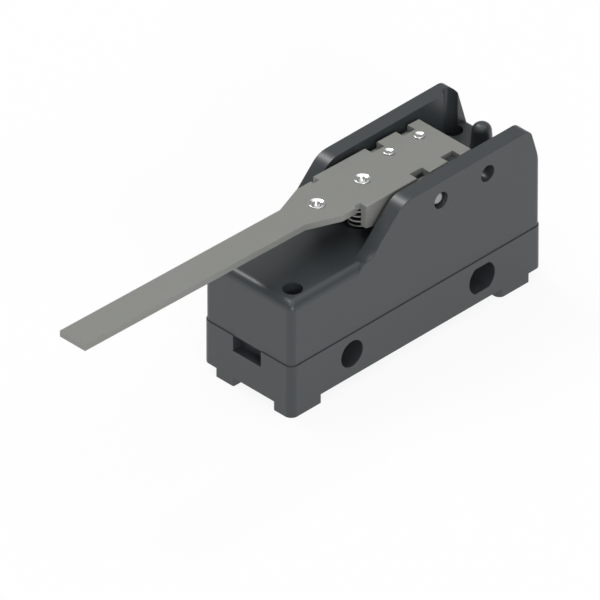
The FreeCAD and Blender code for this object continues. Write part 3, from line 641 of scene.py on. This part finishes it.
@dataclass
class Lever:
    """The folded lever, its strip and its rivets; millimetres, in the lever's own frame.

    That frame has its origin on the hinge's axis, +X away from the tip and +Z square to the plate.

    Attributes:
        edge: the width of the sheet's broken edges, in metres.
        lift: how far the lever's tip stands up at rest, in degrees.
        plate: the height of the plate's upper face.
        under: the depth of the strip's lower face below it.
        rivets: where the large rivets stand along the plate.
        studs: where the small rivets stand along the plate.
        stud_side: how far they stand beside the middle line.
        hollow: the large rivets' section.
        dished: the small rivets' section.
    """

    edge: float = 0.06 * MM
    lift: float = 1.4
    plate: float = 2.61
    under: float = 1.5
    rivets: tuple[float, float] = (-15.75, -6.95)
    studs: tuple[float, float] = (0.35, 6.25)
    stud_side: float = 2.1
    hollow: HollowRivet = HollowRivet()
    dished: DishedStud = DishedStud()

    def place(self, along: float, across: float) -> Matrix:
        """Lead from a rivet's own millimetres to its place on the plate, in metres.

        Args:
            along: where it stands along the plate.
            across: how far it stands beside the middle line.

        Returns:
            The matrix.
        """
        hinge = next(joint for joint in frame["joints"] if joint["name"] == "lever_hinge")
        turn = Matrix.Rotation(math.radians(self.lift), 4, "Y")
        return (Matrix.Translation(Vector(hinge["pos_m"])) @ turn @ Matrix.Scale(MM, 4)
                @ Matrix.Translation((along, across, self.plate)))

    def rivet(self, shop: Workshop, name: str, along: float) -> None:
        """Make one hollow rivet with a rolled lip, its shank through both sheets and its closed tail.

        Args:
            shop: the workshop.
            name: the node that it stands for.
            along: where it stands along the plate.
        """
        outline = self.hollow.outline(self.under)
        shape = shop.turned(outline, self.hollow.rounding, self.place(along, 0.0))
        shop.piece(f"{name}_rolled", shape, RIVET_STEEL, Body.LEVER, name)

    def stud(self, shop: Workshop, name: str, along: float) -> None:
        """Make one small rivet with a dished head.

        Args:
            shop: the workshop.
            name: the node that it stands for.
            along: where it stands along the plate.
        """
        shape = shop.turned(self.dished.outline(), self.dished.rounding, self.place(along, self.stud_side))
        shop.piece(f"{name}_dished", shape, RIVET_STEEL, Body.LEVER, name)

    def build(self, shop: Workshop) -> None:
        """Ease the sheets' edges and make the rivets.

        Args:
            shop: the workshop.
        """
        shop.eased("lever", LEVER_STEEL, Body.LEVER, self.edge)
        shop.eased("pusher_strip", STRIP_STEEL, Body.LEVER, self.edge)
        for end, along in zip(("front", "rear"), self.rivets):
            self.rivet(shop, f"lever_rivet_{end}", along)
        for end, along in zip(("front", "rear"), self.studs):
            self.stud(shop, f"lever_stud_{end}", along)


@dataclass
class Actuator:
    """The hinge pin, the plunger, its cap and the return spring.

    Attributes:
        finishes: each node with its finish.
    """

    finishes: tuple[tuple[str, Finish], ...] = (
        ("hinge_pin", PIN_STEEL),
        # The plunger's near-black colour is painted shade.
        ("plunger", PLUNGER_PAINTED_SHADE),
        ("spring_cap", STRIP_STEEL),
        ("return_spring", SPRING_STEEL),
    )

    def build(self, shop: Workshop) -> None:
        """Dress the pieces between the lever and the snap blade."""
        for node, finish in self.finishes:
            shop.dress(node, finish)


@dataclass
class Contacts:
    """The snap blade, the contacts and the terminals with their screws.

    Attributes:
        heads: the contact heads.
        circuits: what each terminal is called after.
    """

    heads: tuple[str, ...] = ("moving_contact", "open_contact", "closed_contact")
    circuits: tuple[str, ...] = ("common", "open", "closed")

    def build(self, shop: Workshop) -> None:
        """Dress everything that carries current, and what clamps it.

        Args:
            shop: the workshop.
        """
        shop.dress("snap_blade", BLADE_METAL)
        for node in self.heads:
            shop.dress(node, CONTACT_METAL)
        shop.dress("blade_anchor", TERMINAL_BRASS)
        for name in self.circuits:
            shop.dress(f"{name}_terminal", TERMINAL_BRASS)
            shop.dress(f"{name}_terminal_screw", SCREW_STEEL)
            shop.dress(f"{name}_clamp_plate", SCREW_STEEL)


# Studio


@dataclass(frozen=True)
class Lamp:
    """One square soft lamp that faces the object.

    Attributes:
        name: the lamp's name.
        towards: the direction in which it hangs, seen from the object.
        away: its distance in metres.
        reach: the length of its side in metres.
        power: its power in watts.
    """

    name: str
    towards: Direction
    away: float
    reach: float
    power: float

    def hang(self, aim: Vector) -> None:
        """Hang the lamp and turn it to the object.

        Args:
            aim: the point that it faces, in metres.
        """
        data = bpy.data.lights.new(self.name, "AREA")
        data.shape = "SQUARE"
        data.size = self.reach
        data.energy = self.power
        lamp = bpy.data.objects.new(self.name, data)
        back = Vector(self.towards).normalized()
        lamp.location = aim + back * self.away
        lamp.rotation_mode = "QUATERNION"
        lamp.rotation_quaternion = back.to_track_quat("Z", "Y")
        bpy.context.scene.collection.objects.link(lamp)


LAMPS = (
    Lamp("far_high", (0.0, 0.58, 0.8), 2.1, 0.6, 13.0),
    Lamp("near_front_high", (-0.41, -0.82, 0.41), 2.0, 0.4, 12.0),
)


@dataclass
class Studio:
    """Camera, lamps, world and floor.

    Attributes:
        azimuth: the camera's bearing in degrees; 0 looks along +Y.
        elevation: its height above the horizon, in degrees.
        aim: the point at the middle of the picture, in metres.
        span: the width of the picture at that point, in metres.
        lens: the focal length in millimetres.
        sensor: the width of the sensor in millimetres.
        near_clip: the nearest distance that is seen, as a share of the camera's.
        far_clip: the farthest distance that is seen, likewise.
        floor_level: the height of the floor, in metres.
        floor_reach: half the width of the floor, in metres.
        ceiling: the brightness of the world half way up; near the horizon it is white.
        zenith: its brightness straight overhead.
        heights: where the white ends, the ceiling starts and ends, and the zenith starts, as the
            upward part of a direction.
        glow: the share of the floor's look that no light or shadow changes.
        floor_grey: the floor's own colour.
        floor_rough: the floor's roughness.
    """

    azimuth: float = -45.025
    elevation: float = 35.33
    aim: Vector = field(default_factory=lambda: Vector((-3.996, -2.503, 8.0)) * MM)
    span: float = 82.273 * MM
    lens: float = 1725.0
    sensor: float = 36.0
    near_clip: float = 0.5
    far_clip: float = 3.0
    floor_level: float = -5.23 * MM
    floor_reach: float = 12.0
    ceiling: float = 0.33
    zenith: float = 1.6
    heights: tuple[float, float, float, float] = (0.06, 0.24, 0.7, 0.88)
    glow: float = 0.9
    floor_grey: float = 0.8
    floor_rough: float = 0.9

    def camera(self) -> None:
        """Set the camera far off, so that the view is nearly parallel."""
        data = bpy.data.cameras.new("camera")
        data.lens = self.lens
        data.sensor_width = self.sensor
        bearing, height = math.radians(self.azimuth), math.radians(self.elevation)
        level = math.cos(height)
        back = Vector((math.sin(bearing) * level, -math.cos(bearing) * level, math.sin(height)))
        distance = self.span * self.lens / self.sensor
        data.clip_start = distance * self.near_clip
        data.clip_end = distance * self.far_clip
        camera = bpy.data.objects.new("camera", data)
        camera.location = self.aim + back * distance
        camera.rotation_mode = "QUATERNION"
        camera.rotation_quaternion = back.to_track_quat("Z", "Y")
        bpy.context.scene.collection.objects.link(camera)
        bpy.context.scene.camera = camera

    def floor(self) -> None:
        """Lay a plain pale floor that reads as white and keeps a faint shadow."""
        shape = bmesh.new()
        bmesh.ops.create_grid(shape, x_segments=1, y_segments=1, size=self.floor_reach)
        bmesh.ops.translate(shape, verts=shape.verts, vec=(0.0, 0.0, self.floor_level))
        data = bpy.data.meshes.new("floor")
        shape.to_mesh(data)
        shape.free()
        shader = Shader("pale_floor")
        grey = (self.floor_grey, self.floor_grey, self.floor_grey, 1.0)
        shader.set(Base_Color=grey, Roughness=self.floor_rough, Specular_IOR_Level=0.0)
        camera = shader.node("ShaderNodeLightPath", out="Is Camera Ray")
        glossy = shader.node("ShaderNodeLightPath", out="Is Glossy Ray")
        through = shader.node("ShaderNodeLightPath", out="Is Transmission Ray")
        white = shader.node("ShaderNodeEmission", inputs={"Color": (1.0, 1.0, 1.0, 1.0), "Strength": 1.0})
        lit = Value(shader, shader.surface.outputs["BSDF"])
        seen = shader.node("ShaderNodeMixShader", inputs={
            "Fac": (camera + glossy + through) * self.glow, 1: lit, 2: white})
        shader.feed(shader.output.inputs["Surface"], seen)
        data.materials.append(shader.material)
        floor = bpy.data.objects.new("floor", data)
        bpy.context.scene.collection.objects.link(floor)

    def world(self) -> None:
        """Make the world white near the horizon, dim half way up and bright overhead."""
        world = bpy.data.worlds.new("studio")
        world.use_nodes = True
        tree = world.node_tree
        where = tree.nodes.new("ShaderNodeTexCoord")
        parts = tree.nodes.new("ShaderNodeSeparateXYZ")
        ramp = tree.nodes.new("ShaderNodeValToRGB")
        levels = (1.0, self.ceiling, self.ceiling, self.zenith)
        Shader.fill_ramp(ramp, list(zip(self.heights, levels)))
        tree.links.new(where.outputs["Generated"], parts.inputs["Vector"])
        tree.links.new(parts.outputs["Z"], ramp.inputs["Fac"])
        tree.links.new(ramp.outputs["Color"], tree.nodes["Background"].inputs["Color"])
        bpy.context.scene.world = world

    def build(self) -> None:
        """Set up the whole studio."""
        self.camera()
        self.world()
        self.floor()
        for lamp in LAMPS:
            lamp.hang(self.aim)
        bpy.context.scene.view_settings.view_transform = "Standard"


def main() -> None:
    """Build the studio and every sub-assembly."""
    logging.basicConfig(level=logging.INFO, format="%(name)s %(message)s")
    shop = Workshop()
    Studio().build()
    for part in (Housing(), Lever(), Actuator(), Contacts()):
        part.build(shop)
    LOG.info("boxes written")


if __name__ == "__main__":
    main()
